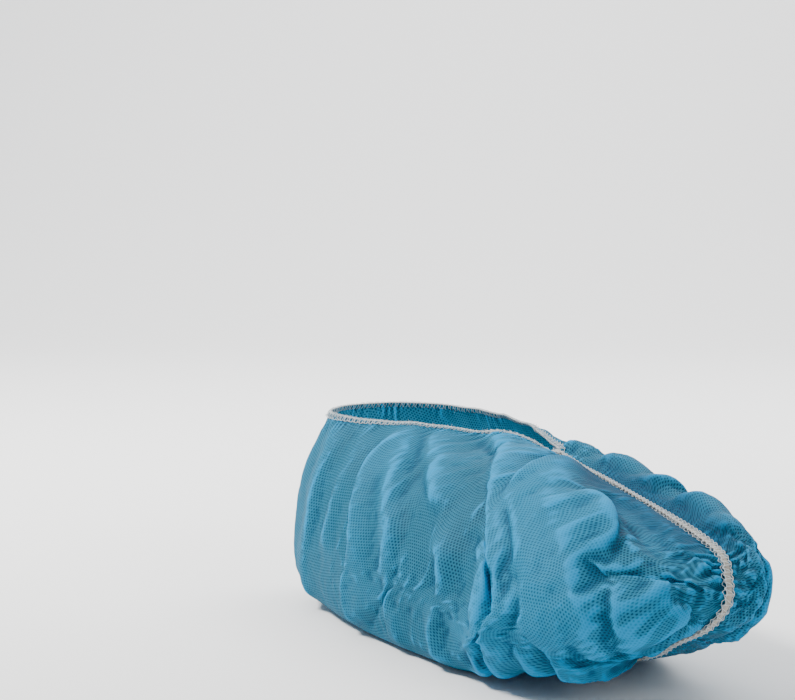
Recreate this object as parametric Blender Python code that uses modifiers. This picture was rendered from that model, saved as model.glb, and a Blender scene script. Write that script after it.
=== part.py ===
# A disposable shoe cover, gathered on elastic, in the form that it takes over a shoe.
# One sheet of spunbonded cloth is folded round the heel.  Its edges are sewn into one seam
# that starts under the heel, runs along the sole, round the toe and back over the instep.
# Past the instep the edges part and make the ankle opening, which an elastic hem holds in.
# The toe points along +X, the sole rests on Z = 0 and the origin is the middle of its footprint.
import math

import bmesh
import bpy
import numpy as np

# Driving sizes, in metres
cover_length = 0.324
cover_width = 0.126
heel_height = 0.100
wall = 0.0012
opening_length = 0.162
opening_width = 0.076
tape_width = 0.0052
tape_thickness = 0.0009
tail_length = 0.022
seam_bead = 0.0026
hem_bead = 0.0026
fold_depth = 0.0052
fold_width = 0.0085
gather_depth = 0.0020
gather_reach = 0.034
groove_slope = 0.0022
sole_press = 0.0005
folds_start_height = 0.001
folds_full_height = 0.014
merge_distance = 0.000001
clearance = 0.0003

# How finely the sheet is drawn, on each side of the fold at the heel
steps_along = 44
steps_round = 19
curve_samples = 161

# The sheet's cross-sections from heel to toe.  Station runs from 0 at the heel to 1 at the toe.
# Halves are shares of half the cover's width, and rises are shares of its height at the heel.
# Roll says how far the sole turns up into the heel or the toe.
section_columns = (
    "station", "lift", "roll", "sole_half", "side_half", "side_rise",
    "shoulder_half", "shoulder_rise", "crest_half", "crest_rise", "edge_rise",
)
sections = (
    (0.00, 0.05, 1.00, 0.00, 0.00, 0.50, 0.00, 0.78, 0.00, 0.90, 1.00),
    (0.09, 0.02, 0.18, 0.30, 0.46, 0.46, 0.40, 0.80, 0.32, 0.90, 1.00),
    (0.20, 0.00, 0.06, 0.56, 0.80, 0.44, 0.72, 0.77, 0.62, 0.88, 0.99),
    (0.33, 0.00, 0.00, 0.70, 0.94, 0.40, 0.84, 0.76, 0.68, 0.89, 0.98),
    (0.44, 0.00, 0.00, 0.78, 0.97, 0.36, 0.84, 0.79, 0.54, 0.91, 0.95),
    (0.52, 0.00, 0.00, 0.78, 0.95, 0.36, 0.83, 0.84, 0.40, 0.92, 0.87),
    (0.62, 0.00, 0.00, 0.73, 0.91, 0.36, 0.80, 0.80, 0.38, 0.88, 0.82),
    (0.72, 0.06, 0.00, 0.63, 0.83, 0.38, 0.71, 0.76, 0.35, 0.83, 0.77),
    (0.82, 0.13, 0.00, 0.47, 0.68, 0.40, 0.57, 0.70, 0.28, 0.76, 0.72),
    (0.92, 0.20, 0.16, 0.25, 0.39, 0.43, 0.33, 0.59, 0.16, 0.67, 0.67),
    (1.00, 0.24, 1.00, 0.00, 0.00, 0.46, 0.00, 0.54, 0.00, 0.59, 0.62),
)

# How far the heel and the toe stand in from the two ends of the cover, as shares of its
# length, at heights that are shares of its height at the heel.
end_columns = ("rise", "heel_inset", "toe_inset")
ends = (
    (0.00, 0.060, 0.110),
    (0.10, 0.032, 0.110),
    (0.24, 0.012, 0.094),
    (0.38, 0.002, 0.020),
    (0.50, 0.000, 0.000),
    (0.62, 0.004, 0.026),
    (0.80, 0.018, 0.062),
    (1.00, 0.032, 0.076),
)

# The cover sits on the shoe with a twist: its top is drawn to the left of its sole.  The
# draw is a share of half the cover's width, at shares of its length from heel to toe.
twist_columns = ("along", "draw")
twist = (
    (0.00, 0.00),
    (0.10, 0.10),
    (0.22, 0.32),
    (0.36, 0.46),
    (0.50, 0.52),
    (0.70, 0.42),
    (0.88, 0.32),
    (1.00, 0.28),
)
twist_power = 1.35

# The ankle opening is drawn to a point in front and is round at the back.
opening_front_power = 1.3
opening_back_power = 0.5

# The main folds of each side.  A fold runs from its first station and share of the way round
# the section to its last, and its depth and width are shares of fold_depth and fold_width.
# A negative depth is a valley.
fold_columns = ("from_station", "from_round", "to_station", "to_round", "depth", "width")
folds_right = (
    (0.18, 0.98, 0.18, 0.44, 0.50, 1.00),
    (0.27, 0.98, 0.25, 0.40, 0.65, 1.05),
    (0.36, 0.98, 0.36, 0.42, 0.80, 1.00),
    (0.43, 0.97, 0.48, 0.60, 0.85, 0.95),
    (0.48, 0.60, 0.49, 0.32, 0.65, 0.95),
    (0.50, 0.90, 0.64, 0.72, 0.80, 0.90),
    (0.64, 0.72, 0.71, 0.34, 1.00, 0.90),
    (0.60, 0.88, 0.71, 0.78, 1.10, 1.05),
    (0.71, 0.78, 0.79, 0.48, 1.25, 1.00),
    (0.79, 0.48, 0.87, 0.26, 0.90, 0.85),
    (0.71, 0.86, 0.84, 0.83, 0.90, 0.90),
    (0.84, 0.83, 0.95, 0.66, 0.90, 0.80),
    (0.60, 0.95, 0.84, 0.93, -0.80, 0.90),
    (0.80, 0.70, 0.90, 0.38, 0.95, 0.75),
    (0.57, 0.56, 0.59, 0.32, 0.60, 0.85),
)
folds_left = (
    (0.17, 0.98, 0.19, 0.42, 0.70, 1.05),
    (0.26, 0.98, 0.28, 0.38, 0.75, 1.00),
    (0.345, 0.98, 0.325, 0.38, 0.85, 1.00),
    (0.42, 0.97, 0.44, 0.36, 0.95, 1.00),
    (0.50, 0.92, 0.52, 0.36, 0.95, 0.95),
    (0.56, 0.90, 0.57, 0.50, 0.70, 0.90),
    (0.60, 0.88, 0.62, 0.36, 0.90, 0.95),
    (0.68, 0.88, 0.69, 0.40, 1.10, 0.95),
    (0.77, 0.86, 0.79, 0.40, 1.10, 0.90),
    (0.86, 0.76, 0.90, 0.44, 0.90, 0.80),
)
points_in_a_crease = 25

# Gathers that fan out from the seam at the toe, and how far the seam's flat tape runs
toe_pleats = 3.5
tape_end_station = 0.86

# Rows that make the front of the opening round, in thicknesses of the hem
front_rows = (0.45, 1.4, 2.8)
# Rows beside the seam at the toe, in steps along the sheet
toe_rows = (0.55, 0.25)

# Values that follow from the sizes above
half_width = cover_width / 2
groove = tape_thickness + clearance
groove_half = tape_width / 2 + clearance
groove_edge = groove_half + groove_slope
front_share = opening_length / cover_length


def clear_scene():
    for thing in list(bpy.data.objects):
        bpy.data.objects.remove(thing, do_unlink=True)


def smooth(value, low, high):
    """0 below low, 1 above high, and a smooth step between."""
    share = np.clip((value - low) / (high - low), 0, 1)
    return share * share * (3 - 2 * share)


def through(rows, place, at):
    """A column of a table, on a smooth curve through its rows, where its first column is at."""
    known = np.array([row[0] for row in rows])
    value = np.array([row[place] for row in rows])
    slope = np.gradient(value, known)
    k = np.clip(np.searchsorted(known, at, side="right") - 1, 0, len(rows) - 2)
    gap = known[k + 1] - known[k]
    t = (at - known[k]) / gap
    start = (1 + 2 * t) * (1 - t) ** 2 * value[k] + t * (1 - t) ** 2 * gap * slope[k]
    end = t * t * (3 - 2 * t) * value[k + 1] + t * t * (t - 1) * gap * slope[k + 1]
    return start + end


def column(name, station):
    return max(0.0, float(through(sections, section_columns.index(name), station)))


def inset(name, rise):
    share = np.clip(rise / heel_height, 0, 1)
    return cover_length * through(ends, end_columns.index(name), share)


def spline_weights(count):
    """The weights of a cubic B-spline's points, with a row for each sample from its first
    point to its last."""
    degree = 3
    knots = np.pad(np.linspace(0, 1, count - degree + 1), degree, "edge")
    t = np.linspace(0, 1 - 1e-9, curve_samples)[:, None]
    weight = ((knots[:-1] <= t) & (t < knots[1:])).astype(float)
    for order in range(1, degree + 1):
        low, high = knots[: -order - 1], knots[order + 1 :]
        rise = knots[order:-1] - low
        fall = high - knots[1:-order]
        left = (t - low) / np.where(rise > 0, rise, np.inf)
        right = (high - t) / np.where(fall > 0, fall, np.inf)
        weight = left * weight[:, :-1] + right * weight[:, 1:]
    return weight


def share_along(station):
    """Stations crowd together at both ends, which makes the heel and the toe round."""
    return (1 - math.cos(math.pi * station)) / 2


def station_at(share):
    return math.acos(1 - 2 * share) / math.pi


def opening_half(station):
    """Half the gap between the sheet's two top edges: the ankle opening, then the seam."""
    behind_front = (front_share - share_along(station)) / front_share
    if behind_front <= 0:
        return 0.0
    widest = opening_front_power / (opening_front_power + opening_back_power)
    outline = [
        u**opening_front_power * max(0.0, 1 - u) ** opening_back_power
        for u in (behind_front, widest)
    ]
    distance = behind_front * opening_length
    round_end = 2 * 0.85 * hem_bead * distance * math.exp(-distance / (3.4 * hem_bead))
    return math.hypot(opening_width / 2 * outline[0] / outline[1], math.sqrt(round_end))


def outline_at(station):
    """The control points of one cross-section: distance out from the seam, and height."""
    lift = column("lift", station) * heel_height
    top = column("edge_rise", station) * heel_height
    roll = column("roll", station) * (top - lift)
    sole = column("sole_half", station) * half_width
    side = column("side_half", station) * half_width
    shoulder = column("shoulder_half", station) * half_width
    crest = column("crest_half", station) * half_width
    return (
        (0, lift),
        (0.5 * sole, lift + 0.14 * roll),
        (sole, lift + 0.28 * roll),
        (side, lift + 0.02 * heel_height + 0.36 * roll),
        (side, column("side_rise", station) * heel_height),
        (shoulder, column("shoulder_rise", station) * heel_height),
        (crest, column("crest_rise", station) * heel_height),
        (min(opening_half(station), crest), top),
    )


def section_curve(station):
    """The right side's cross-section before it folds, from the sole's seam to the top edge,
    with the distance walked to each of its points."""
    outline = np.array(outline_at(station))
    out, rise = (spline_weights(len(outline)) @ outline).T
    rise = np.maximum(rise - sole_press, 0)
    back = inset("heel_inset", rise) - cover_length / 2
    front = cover_length / 2 - inset("toe_inset", rise)
    along = back + (front - back) * share_along(station)
    curve = np.stack((along, -out, rise), axis=1)
    steps = np.linalg.norm(np.diff(curve, axis=0), axis=1)
    return curve, np.concatenate(([0], np.cumsum(steps)))


def read_curve(curve, walked, distances):
    return np.stack([np.interp(distances, walked, curve[:, axis]) for axis in range(3)], axis=-1)


def station_rows():
    """The stations where the sheet has a row of points."""
    front = station_at(front_share)
    rows = [k / steps_along for k in range(steps_along + 1)]
    nearest = min(range(len(rows)), key=lambda k: abs(rows[k] - front))
    rows[nearest] = front
    rows += [station_at(front_share - share * hem_bead / cover_length) for share in front_rows]
    rows += [1 - share / steps_along for share in toe_rows]
    return sorted(rows)


def smooth_grid(rows):
    """Points of the right side before it folds, and each one's share of the way round."""
    points, shares = [], []
    for station in rows:
        curve, walked = section_curve(station)
        whole = walked[-1]
        even = np.linspace(groove_edge, whole - groove_edge, steps_round + 1)
        distances = np.concatenate(([0, groove_half], even, [whole - groove_half, whole]))
        points.append(read_curve(curve, walked, distances))
        shares.append(distances / whole)
    return np.array(points), np.array(shares)


def sheet_normals(points):
    """Directions out of the right side, which are square to Y where the two sides meet."""
    across = np.cross(np.gradient(points, axis=0), np.gradient(points, axis=1))
    across[np.abs(points[:, :, 1]) < merge_distance, 1] = 0
    normals = across / np.maximum(np.linalg.norm(across, axis=2, keepdims=True), 1e-12)
    for row, place, next_row, next_place in ((0, 0, 1, 1), (-1, 0, -2, 1), (-1, -1, -2, -2)):
        between = normals[next_row, place] + normals[row, next_place]
        normals[row, place] = between / np.linalg.norm(between)
    return normals


def seam_of(grid, rows):
    """The seam's row of values: along the sole, up round the toe and back over the instep."""
    front = rows.index(station_at(front_share))
    return np.concatenate((grid[:, 0], grid[-1, 1:], grid[-2 : front - 1 : -1, -1]))


def distance_from(points, line):
    return np.min([np.linalg.norm(points - place, axis=2) for place in line], axis=0)


def fold_heights(points, folds):
    """How far each of the points stands out of the smooth sheet for the folds of the table."""
    ridges, valleys = np.zeros((2, *points.shape[:2]))
    for first_station, first_round, last_station, last_round, depth, width in folds:
        crease = []
        for share in np.linspace(0, 1, points_in_a_crease):
            curve, walked = section_curve(first_station + (last_station - first_station) * share)
            way_round = first_round + (last_round - first_round) * share
            crease.append(read_curve(curve, walked, way_round * walked[-1]))
        away = distance_from(points, crease) / (width * fold_width)
        height = depth * fold_depth * np.exp(-0.5 * away**2)
        ridges = np.maximum(ridges, height)
        valleys = np.minimum(valleys, height)
    return ridges + valleys


def toe_gathers(points, shares):
    """Pleats that fan out from the seam at the toe."""
    away = distance_from(points, points[-1])
    wave = np.cos(2 * math.pi * toe_pleats * shares + 1.1 * np.sin(5 * shares))
    return gather_depth * wave * np.exp(-away / gather_reach)


def side_of_sheet(rows, folds):
    """The right side of the sheet with its folds, and with a groove where its seam is sewn."""
    points, shares = smooth_grid(rows)
    station, front = np.array(rows)[:, None], station_at(front_share)
    from_seam = distance_from(points, seam_of(points, rows))
    height = fold_heights(points, folds) + toe_gathers(points, shares)
    height *= smooth(points[:, :, 2] - points[:, :1, 2], folds_start_height, folds_full_height)
    height *= smooth(from_seam, groove_edge, groove_edge + fold_width)
    height *= smooth(np.abs(points[:, :, 1]), 0, 2 * fold_width)
    height *= 1 - 0.75 * smooth(shares, 0.85, 1.0) * (1 - smooth(station, front - 0.08, front))
    sewn = np.where(shares < 0.5, smooth(station, 0.05, 0.09), smooth(station, front, front + 0.06))
    height -= groove * sewn * (1 - smooth(from_seam, groove_half, groove_edge))
    points = points + sheet_normals(points) * height[:, :, None]
    points[:, :, 2] = np.maximum(points[:, :, 2], 0)
    return points


def twisted(points):
    """Draws the top of the cover to its left, where the sides and the sole stay in place."""
    along = np.clip(points[..., 0] / cover_length + 0.5, 0, 1)
    draw = half_width * through(twist, twist_columns.index("draw"), along)
    draw = draw * smooth(points[..., 2], 0.2 * heel_height, 0.8 * heel_height)
    from_middle = np.clip(np.abs(points[..., 1]) / half_width, 0, 1)
    moved = points.copy()
    moved[..., 1] += draw * (1 - from_middle**twist_power)
    return moved


def make_material(name, colour, roughness):
    material = bpy.data.materials.new(name)
    material.use_nodes = True
    shader = material.node_tree.nodes["Principled BSDF"]
    shader.inputs["Base Color"].default_value = (*colour, 1)
    shader.inputs["Roughness"].default_value = roughness
    shader.inputs["Metallic"].default_value = 0
    return material


def add_object(name, data, material, collection):
    thing = bpy.data.objects.new(name, data)
    data.materials.append(material)
    collection.objects.link(thing)
    return thing


def add_shell(name, grid, thickness, offset, material, collection):
    """A grid of points as a surface, closed where its points meet and made into a wall."""
    grid = twisted(grid)
    across, down = grid.shape[0] - 1, grid.shape[1] - 1
    sheet = bmesh.new()
    bmesh.ops.create_grid(sheet, x_segments=across, y_segments=down, size=1)
    for vertex in sheet.verts:
        row = round((vertex.co.x + 1) / 2 * across)
        place = round((vertex.co.y + 1) / 2 * down)
        vertex.co = grid[row, place]
    bmesh.ops.remove_doubles(sheet, verts=sheet.verts, dist=merge_distance)
    mesh = bpy.data.meshes.new(name)
    sheet.to_mesh(mesh)
    sheet.free()
    mesh.shade_smooth()
    shell = add_object(name, mesh, material, collection)
    solidify = shell.modifiers.new("wall", "SOLIDIFY")
    solidify.thickness = thickness
    solidify.offset = offset
    solidify.use_even_offset = True
    return shell


def add_tube(name, points, thickness, cyclic, material, collection):
    curve = bpy.data.curves.new(name, "CURVE")
    curve.dimensions = "3D"
    curve.bevel_depth = thickness / 2
    curve.bevel_resolution = 2
    curve.use_fill_caps = True
    line = curve.splines.new("POLY")
    line.points.add(len(points) - 1)
    for place, point in zip(line.points, twisted(points)):
        place.co = (*point, 1)
    line.use_cyclic_u = cyclic
    return add_object(name, curve, material, collection)


def make_cloth(right, left, material, collection):
    """Both sides in one sheet, joined under the sole, and folded round the heel."""
    mirrored = left[:, :0:-1] * (1, -1, 1)
    sheet = np.concatenate((mirrored, right), axis=1)
    return add_shell("cloth_cover", sheet, wall, -1, material, collection)


def make_hem(right, left, rows, material, collection):
    """The hem stands on the rim of the ankle opening."""
    front = rows.index(station_at(front_share))
    rim = np.concatenate((right[: front + 1, -1], left[front - 1 : 0 : -1, -1] * (1, -1, 1)))
    rim[:, 2] += clearance + hem_bead / 2
    return add_tube("hem_elastic", rim, hem_bead, True, material, collection)


def cut_short(line, distance):
    """A line of points without the last stretch of that length."""
    steps = np.linalg.norm(np.diff(line, axis=0), axis=1)
    to_end = steps.sum() - np.concatenate(([0], np.cumsum(steps)))
    kept = line[to_end > distance]
    after = line[len(kept)]
    share = (to_end[len(kept) - 1] - distance) / steps[len(kept) - 1]
    return np.concatenate((kept, [kept[-1] + (after - kept[-1]) * share]))


def make_tape(right, rows, material, collection):
    """Flat elastic in the sole's groove, whose loose tail stands up the back of the heel."""
    out = sheet_normals(right) * clearance
    last = next(k for k, station in enumerate(rows) if station >= tape_end_station)
    sole = (right + out)[last::-1, 0]
    heel = (right + out)[0, 1:]
    climb = np.linalg.norm(np.diff(heel, axis=0, prepend=sole[-1:]), axis=1).cumsum()
    past = int(np.argmax(climb > tail_length)) + 1
    line = cut_short(np.concatenate((sole, heel[:past])), climb[past - 1] - tail_length)
    half = np.array((0, tape_width / 2, 0))
    strip = np.stack((line - half, line + half), axis=1)
    return add_shell("sole_tape", strip, tape_thickness, 1, material, collection)


def make_seam(right, rows, material, collection):
    """The sewn seam from the end of the bare tape, round the toe and up to the opening."""
    raised = right + sheet_normals(right) * (clearance + seam_bead / 2)
    line = seam_of(raised, rows)
    first = next(k for k, station in enumerate(rows) if station >= tape_end_station)
    line = cut_short(line[first:], 0.6 * hem_bead + clearance)
    line = cut_short(line[::-1], clearance)
    return add_tube("toe_seam", line, seam_bead, False, material, collection)


def centre_on_footprint(pieces, collection):
    """Moves every piece so that the origin is the bottom centre of the whole cover."""
    origin = bpy.data.objects.new("footprint", None)
    collection.objects.link(origin)
    for piece in pieces:
        piece.parent = origin
    bpy.context.view_layer.update()
    graph = bpy.context.evaluated_depsgraph_get()
    corners = []
    for piece in pieces:
        mesh = piece.evaluated_get(graph).to_mesh()
        places = np.array([piece.matrix_world @ vertex.co for vertex in mesh.vertices])
        corners += [places.min(axis=0), places.max(axis=0)]
    low, high = np.min(corners, axis=0), np.max(corners, axis=0)
    origin.location = (-(low[0] + high[0]) / 2, -(low[1] + high[1]) / 2, -low[2])


def make_shoe_cover():
    clear_scene()
    collection = bpy.data.collections.new("shoe_cover")
    bpy.context.scene.collection.children.link(collection)
    cloth_blue = make_material("nonwoven_blue", (0.045, 0.300, 0.500), 0.75)
    elastic_white = make_material("elastic_white", (0.720, 0.700, 0.640), 0.70)
    thread_blue = make_material("overlock_thread", (0.420, 0.620, 0.700), 0.70)
    rows = station_rows()
    right = side_of_sheet(rows, folds_right)
    left = side_of_sheet(rows, folds_left)
    pieces = [
        make_cloth(right, left, cloth_blue, collection),
        make_hem(right, left, rows, thread_blue, collection),
        make_tape(right, rows, elastic_white, collection),
        make_seam(right, rows, elastic_white, collection),
    ]
    centre_on_footprint(pieces, collection)


make_shoe_cover()
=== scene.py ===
# A disposable shoe cover of light blue spunbonded cloth, gathered on elastic, standing empty in
# the form that it takes over a shoe.  Metres, Z up, toe along +X, the sole on Z = 0.
import math

import bpy
import numpy as np
from mathutils import Matrix, Vector, noise
from mathutils.bvhtree import BVHTree


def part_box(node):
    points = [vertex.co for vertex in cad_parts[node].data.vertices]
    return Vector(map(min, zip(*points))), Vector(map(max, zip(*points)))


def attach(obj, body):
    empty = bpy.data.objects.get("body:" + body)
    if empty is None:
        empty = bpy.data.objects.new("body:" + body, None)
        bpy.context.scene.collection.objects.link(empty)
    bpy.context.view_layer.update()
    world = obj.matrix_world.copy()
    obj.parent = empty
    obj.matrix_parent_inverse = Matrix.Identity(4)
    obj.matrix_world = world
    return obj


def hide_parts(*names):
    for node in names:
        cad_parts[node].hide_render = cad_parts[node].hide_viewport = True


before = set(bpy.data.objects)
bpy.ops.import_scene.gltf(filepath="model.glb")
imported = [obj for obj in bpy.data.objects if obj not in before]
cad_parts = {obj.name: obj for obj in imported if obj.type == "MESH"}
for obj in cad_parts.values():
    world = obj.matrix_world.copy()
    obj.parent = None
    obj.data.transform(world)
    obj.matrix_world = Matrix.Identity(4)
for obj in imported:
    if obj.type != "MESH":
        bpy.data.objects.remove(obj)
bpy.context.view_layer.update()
print("frame loaded:", sorted(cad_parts))


# Shader maths as plain expressions
class Wire:
    def __init__(self, board, socket):
        self.board = board
        self.socket = socket

    def maths(self, operation, *others):
        return self.board.put("ShaderNodeMath", {"operation": operation}, [self, *others])

    def __add__(self, other):
        return self.maths("ADD", other)

    __radd__ = __add__

    def __sub__(self, other):
        return self.maths("SUBTRACT", other)

    def __rsub__(self, other):
        return self.board.put("ShaderNodeMath", {"operation": "SUBTRACT"}, [other, self])

    def __mul__(self, other):
        return self.maths("MULTIPLY", other)

    __rmul__ = __mul__

    def __truediv__(self, other):
        return self.maths("DIVIDE", other)

    def least(self, other):
        return self.maths("MINIMUM", other)

    def most(self, other):
        return self.maths("MAXIMUM", other)

    def between(self, low, high, start=0.0, end=1.0):
        settings = {"interpolation_type": "SMOOTHSTEP"}
        return self.board.put("ShaderNodeMapRange", settings, [self, low, high, start, end])


class Board:
    def __init__(self, name):
        self.material = bpy.data.materials.new(name)
        self.material.use_nodes = True
        self.tree = self.material.node_tree
        self.tree.nodes.clear()

    def put(self, kind, settings=None, values=(), out=0):
        node = self.tree.nodes.new(kind)
        for name, value in (settings or {}).items():
            setattr(node, name, value)
        pairs = values.items() if isinstance(values, dict) else enumerate(values)
        for place, value in pairs:
            if isinstance(value, Wire):
                self.tree.links.new(value.socket, node.inputs[place])
            elif value is not None:
                node.inputs[place].default_value = value
        return Wire(self, node.outputs[out]) if len(node.outputs) else None

    def attribute(self, name, out="Fac"):
        return self.put("ShaderNodeAttribute", {"attribute_name": name}, out=out)

    def blendColours(self, share, first, second):
        settings = {"data_type": "RGBA"}
        return self.put("ShaderNodeMix", settings, {0: share, 6: first, 7: second}, out=2)

    def noise(self, where, scale, detail=3.0, roughness=0.55):
        values = {"Vector": where, "Scale": scale, "Detail": detail, "Roughness": roughness}
        return self.put("ShaderNodeTexNoise", None, values, out="Fac")

    def bump(self, height, distance, strength=1.0, below=None):
        values = {"Strength": strength, "Distance": distance, "Height": height, "Normal": below}
        return self.put("ShaderNodeBump", None, values)

    def finish(self, shader):
        self.put("ShaderNodeOutputMaterial", None, [shader])
        return self.material


# The camera stands where the photograph was taken from
viewFrom = {
    "azimuth": 59.25,
    "elevation": 10.76,
    "distance": 0.95,
    "aim": (0.0, 0.0, 0.045),
    "aimPixel": (510.3, 549.3),
    "focalPixels": 1968.0,
    "pixelsWide": 795,
    "pixelsTall": 700,
    "sensor": 36.0,
}


def makeCamera():
    turn, drop = math.radians(viewFrom["azimuth"]), math.radians(viewFrom["elevation"])
    sight = Vector((-math.sin(turn) * math.cos(drop), math.cos(turn) * math.cos(drop), -math.sin(drop)))
    eye = Vector(viewFrom["aim"]) - sight * viewFrom["distance"]
    # the camera is turned so that the aim lands on its own pixel, away from the middle
    across = (viewFrom["aimPixel"][0] - viewFrom["pixelsWide"] / 2) / viewFrom["focalPixels"]
    rise = (viewFrom["pixelsTall"] / 2 - viewFrom["aimPixel"][1]) / viewFrom["focalPixels"]
    reach = math.sqrt(1 + across**2 + rise**2)
    turn += math.asin(across / (reach * math.cos(drop)))
    level = Vector((-math.sin(turn), math.cos(turn), 0))
    flat = sight.dot(level)
    drop = math.atan2(-sight.z, flat) + math.asin(rise / (reach * math.hypot(flat, sight.z)))
    ahead = level * math.cos(drop) - Vector((0, 0, math.sin(drop)))
    right = Vector((math.cos(turn), math.sin(turn), 0))
    up = right.cross(ahead)
    data = bpy.data.cameras.new("camera")
    data.sensor_fit = "HORIZONTAL"
    data.sensor_width = viewFrom["sensor"]
    data.lens = viewFrom["focalPixels"] / viewFrom["pixelsWide"] * viewFrom["sensor"]
    data.clip_start = 0.01
    camera = bpy.data.objects.new("camera", data)
    turned = Matrix((right, up, -ahead)).transposed().to_4x4()
    camera.matrix_world = Matrix.Translation(eye) @ turned
    bpy.context.scene.collection.objects.link(camera)
    bpy.context.scene.camera = camera


def newMesh(name, points, faces, material=None):
    mesh = bpy.data.meshes.new(name)
    corners = [[int(corner) for corner in face] for face in faces]
    mesh.from_pydata(np.asarray(points).tolist(), [], corners)
    mesh.update()
    thing = bpy.data.objects.new(name, mesh)
    bpy.context.scene.collection.objects.link(thing)
    if material:
        mesh.materials.append(material)
    mesh.shade_smooth()
    return thing


# A floor that curves up into a wall, and soft studio light
studio = {
    "floorSize": 6.0,
    "wallAway": 1.6,
    "wallBend": 1.4,
    "bendSteps": 24,
    "floorColour": (0.92, 0.92, 0.92, 1),
    "floorGrain": 3.0,
    "worldColour": (0.93, 0.96, 1.0, 1),
    "worldStrength": 0.42,
    # each lamp: place, aim, size, power, colour
    "lamps": {
        "key": ((-0.60, -0.80, 1.15), (0, 0, 0.05), 0.30, 36.0, (1.0, 0.98, 0.95)),
        "toeSide": ((1.20, 0.35, 0.70), (0, 0, 0.05), 0.5, 6.0, (0.95, 0.98, 1.0)),
        "back": ((-0.30, 1.10, 1.10), (0, 0, 0.05), 0.8, 9.0, (0.95, 0.98, 1.0)),
        "wall": ((-0.7735, 0.4602, 2.0), (-2.5782, 1.5339, 0.6), 2.5, 110.0, (1, 1, 1)),
    },
}


def makeStudio():
    # a floor that curves up into a wall behind, swept across
    away, bend, steps = studio["wallAway"], studio["wallBend"], studio["bendSteps"]
    turn = math.radians(viewFrom["azimuth"])
    back = Vector((-math.sin(turn), math.cos(turn), 0))
    across = Vector((math.cos(turn), math.sin(turn), 0)) * studio["floorSize"]
    profile = [(-studio["floorSize"], 0.0)]
    for k in range(steps + 1):
        angle = math.pi / 2 * k / steps
        profile.append((away + bend * math.sin(angle), bend * (1 - math.cos(angle))))
    profile.append((away + bend, studio["floorSize"]))
    ribs = [back * out + Vector((0, 0, up)) for out, up in profile]
    points = [rib + across * side for rib in ribs for side in (-1, 1)]
    faces = [(2 * k, 2 * k + 1, 2 * k + 3, 2 * k + 2) for k in range(len(ribs) - 1)]
    board = Board("paleFloor")
    grain = board.noise(board.put("ShaderNodeTexCoord", out="Object"), studio["floorGrain"])
    values = {"Base Color": studio["floorColour"], "Roughness": 0.7 + 0.1 * grain}
    paint = board.finish(board.put("ShaderNodeBsdfPrincipled", None, values))
    newMesh("floor", points, faces, paint)
    for name, (place, aim, size, power, colour) in studio["lamps"].items():
        data = bpy.data.lights.new(name, "AREA")
        data.size = size
        data.energy = power
        data.color = colour
        lamp = bpy.data.objects.new(name, data)
        lamp.location = place
        towards = Vector(aim) - lamp.location
        lamp.rotation_euler = towards.to_track_quat("-Z", "Y").to_euler()
        bpy.context.scene.collection.objects.link(lamp)
    world = bpy.data.worlds.new("studio")
    world.use_nodes = True
    background = world.node_tree.nodes["Background"]
    background.inputs["Color"].default_value = studio["worldColour"]
    background.inputs["Strength"].default_value = studio["worldStrength"]
    bpy.context.scene.world = world


makeCamera()
makeStudio()
print("camera and studio made")


# The sheet of cloth.  Lengths are metres; the tables hold shares of length, half width and height.
cloth = {
    "length": 0.324,
    "width": 0.126,
    "height": 0.100,
    "opening": 0.162,
    "openingWidth": 0.076,
    "openingFrontPower": 1.3,
    "openingBackPower": 0.5,
    "openingRound": 0.85,
    "openingRoundWithin": 3.4,
    "hemBead": 0.0026,
    "lift": 0.0004,
    "solePress": 0.0005,
    "groove": 0.0012,
    "grooveHalf": 0.0029,
    "grooveEdge": 0.0051,
    "foldsFrom": (0.010, 0.003),
    "seamCalm": 0.008,
    "hemCalm": 0.7,
    "rows": 138,
    "rounds": 80,
    "samples": 241,
    "middleShare": 55,
    "creaseSteps": 16,
    "twistPower": 1.35,
    "twistRise": (0.2, 0.8),
    "flat": (0.20, 0.94),
    "flatArea": 0.151,
    "gather": 1.22,
    "spread": 1.03,
}
# station, lift, roll, soleHalf, sideHalf, sideRise, shoulderHalf, shoulderRise, crestHalf,
# crestRise, edgeRise
sections = np.array((
    (0.00, 0.05, 1.00, 0.00, 0.00, 0.50, 0.00, 0.78, 0.00, 0.90, 1.00),
    (0.09, 0.02, 0.18, 0.30, 0.46, 0.46, 0.40, 0.80, 0.32, 0.90, 1.00),
    (0.20, 0.00, 0.06, 0.56, 0.80, 0.44, 0.72, 0.77, 0.62, 0.88, 0.99),
    (0.33, 0.00, 0.00, 0.70, 0.94, 0.40, 0.84, 0.76, 0.68, 0.89, 0.98),
    (0.44, 0.00, 0.00, 0.78, 0.97, 0.36, 0.84, 0.79, 0.54, 0.91, 0.95),
    (0.52, 0.00, 0.00, 0.78, 0.95, 0.36, 0.83, 0.84, 0.40, 0.92, 0.87),
    (0.62, 0.00, 0.00, 0.73, 0.91, 0.36, 0.80, 0.80, 0.38, 0.88, 0.82),
    (0.72, 0.06, 0.00, 0.63, 0.83, 0.38, 0.71, 0.76, 0.35, 0.83, 0.77),
    (0.82, 0.13, 0.00, 0.47, 0.68, 0.40, 0.57, 0.70, 0.28, 0.76, 0.72),
    (0.92, 0.20, 0.16, 0.25, 0.39, 0.43, 0.33, 0.59, 0.16, 0.67, 0.67),
    (1.00, 0.24, 1.00, 0.00, 0.00, 0.46, 0.00, 0.54, 0.00, 0.59, 0.62),
))
# rise, heelInset, toeInset
ends = np.array((
    (0.00, 0.060, 0.110),
    (0.10, 0.032, 0.110),
    (0.24, 0.012, 0.094),
    (0.38, 0.002, 0.020),
    (0.50, 0.000, 0.000),
    (0.62, 0.004, 0.026),
    (0.80, 0.018, 0.062),
    (1.00, 0.032, 0.076),
))
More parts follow.
